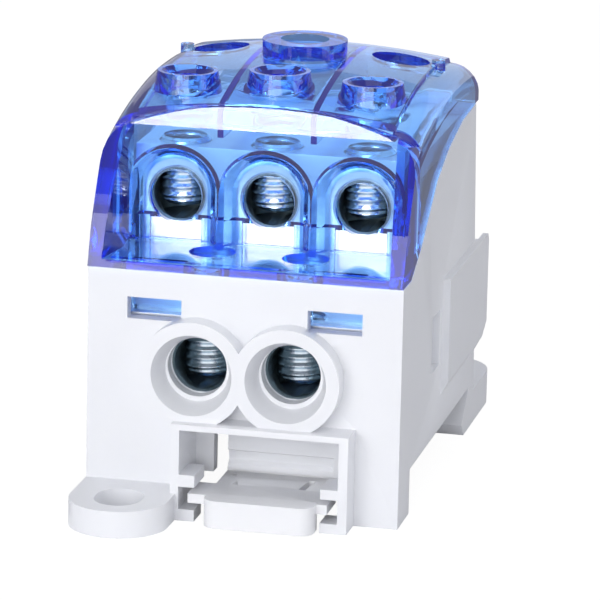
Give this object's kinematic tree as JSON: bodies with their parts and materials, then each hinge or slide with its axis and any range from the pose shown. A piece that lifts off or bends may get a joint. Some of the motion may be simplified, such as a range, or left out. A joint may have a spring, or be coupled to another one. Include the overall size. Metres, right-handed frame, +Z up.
{
  "type": "distribution block",
  "caption": "One-pole distribution block with a stepped terminal bar, set screws, a rail clip, panel feet and a clear lift-off cover.",
  "frame": {"origin": "under the middle of the whole part, on the mounting surface", "axes": "+X along the rail towards the side with the joining tab, +Y from the front with the clip and the two lower holes towards the rear, +Z up"},
  "size_m": [0.0372, 0.0724, 0.0499],
  "materials": {
    "base_plastic": "satin",
    "tinned_metal": "satin",
    "blue_clear_plastic": "clear gloss",
    "clip_plastic": "satin",
    "plated_steel": "bright plated"
  },
  "bodies": {
    "base": {"base_body": "base_plastic", "terminal_bar": "tinned_metal"},
    "cover": {"clear_cover": "blue_clear_plastic"},
    "clip": {"rail_clip": "clip_plastic"},
    "front_screw_left": {"front_screw_left": "plated_steel"},
    "front_screw_middle": {"front_screw_middle": "plated_steel"},
    "front_screw_right": {"front_screw_right": "plated_steel"},
    "lower_screw_left": {"lower_screw_left": "plated_steel"},
    "lower_screw_right": {"lower_screw_right": "plated_steel"},
    "rear_screw_left": {"rear_screw_left": "plated_steel"},
    "rear_screw_middle": {"rear_screw_middle": "plated_steel"},
    "rear_screw_right": {"rear_screw_right": "plated_steel"}
  },
  "joints": [
    {"name": "cover_lift", "type": "slide", "parent": "base", "child": "cover", "axis": [0, 0, 1], "range_m": [0, 0.026]},
    {"name": "clip_pull", "type": "slide", "parent": "base", "child": "clip", "axis": [0, -1, 0], "range_m": [0, 0.003]},
    {"name": "front_screw_left_travel", "type": "slide", "parent": "base", "child": "front_screw_left", "axis": [0, 0, 1], "range_m": [-0.001, 0.003]},
    {"name": "front_screw_middle_travel", "type": "slide", "parent": "base", "child": "front_screw_middle", "axis": [0, 0, 1], "range_m": [-0.001, 0.003]},
    {"name": "front_screw_right_travel", "type": "slide", "parent": "base", "child": "front_screw_right", "axis": [0, 0, 1], "range_m": [-0.001, 0.003]},
    {"name": "lower_screw_left_travel", "type": "slide", "parent": "base", "child": "lower_screw_left", "axis": [0, 0, 1], "range_m": [-0.0008, 0.003]},
    {"name": "lower_screw_right_travel", "type": "slide", "parent": "base", "child": "lower_screw_right", "axis": [0, 0, 1], "range_m": [-0.0008, 0.003]},
    {"name": "rear_screw_left_travel", "type": "slide", "parent": "base", "child": "rear_screw_left", "axis": [0, 0, 1], "range_m": [-0.0006, 0.0035]},
    {"name": "rear_screw_middle_travel", "type": "slide", "parent": "base", "child": "rear_screw_middle", "axis": [0, 0, 1], "range_m": [-0.0019, 0.0035]},
    {"name": "rear_screw_right_travel", "type": "slide", "parent": "base", "child": "rear_screw_right", "axis": [0, 0, 1], "range_m": [-0.0006, 0.0035]}
  ]
}
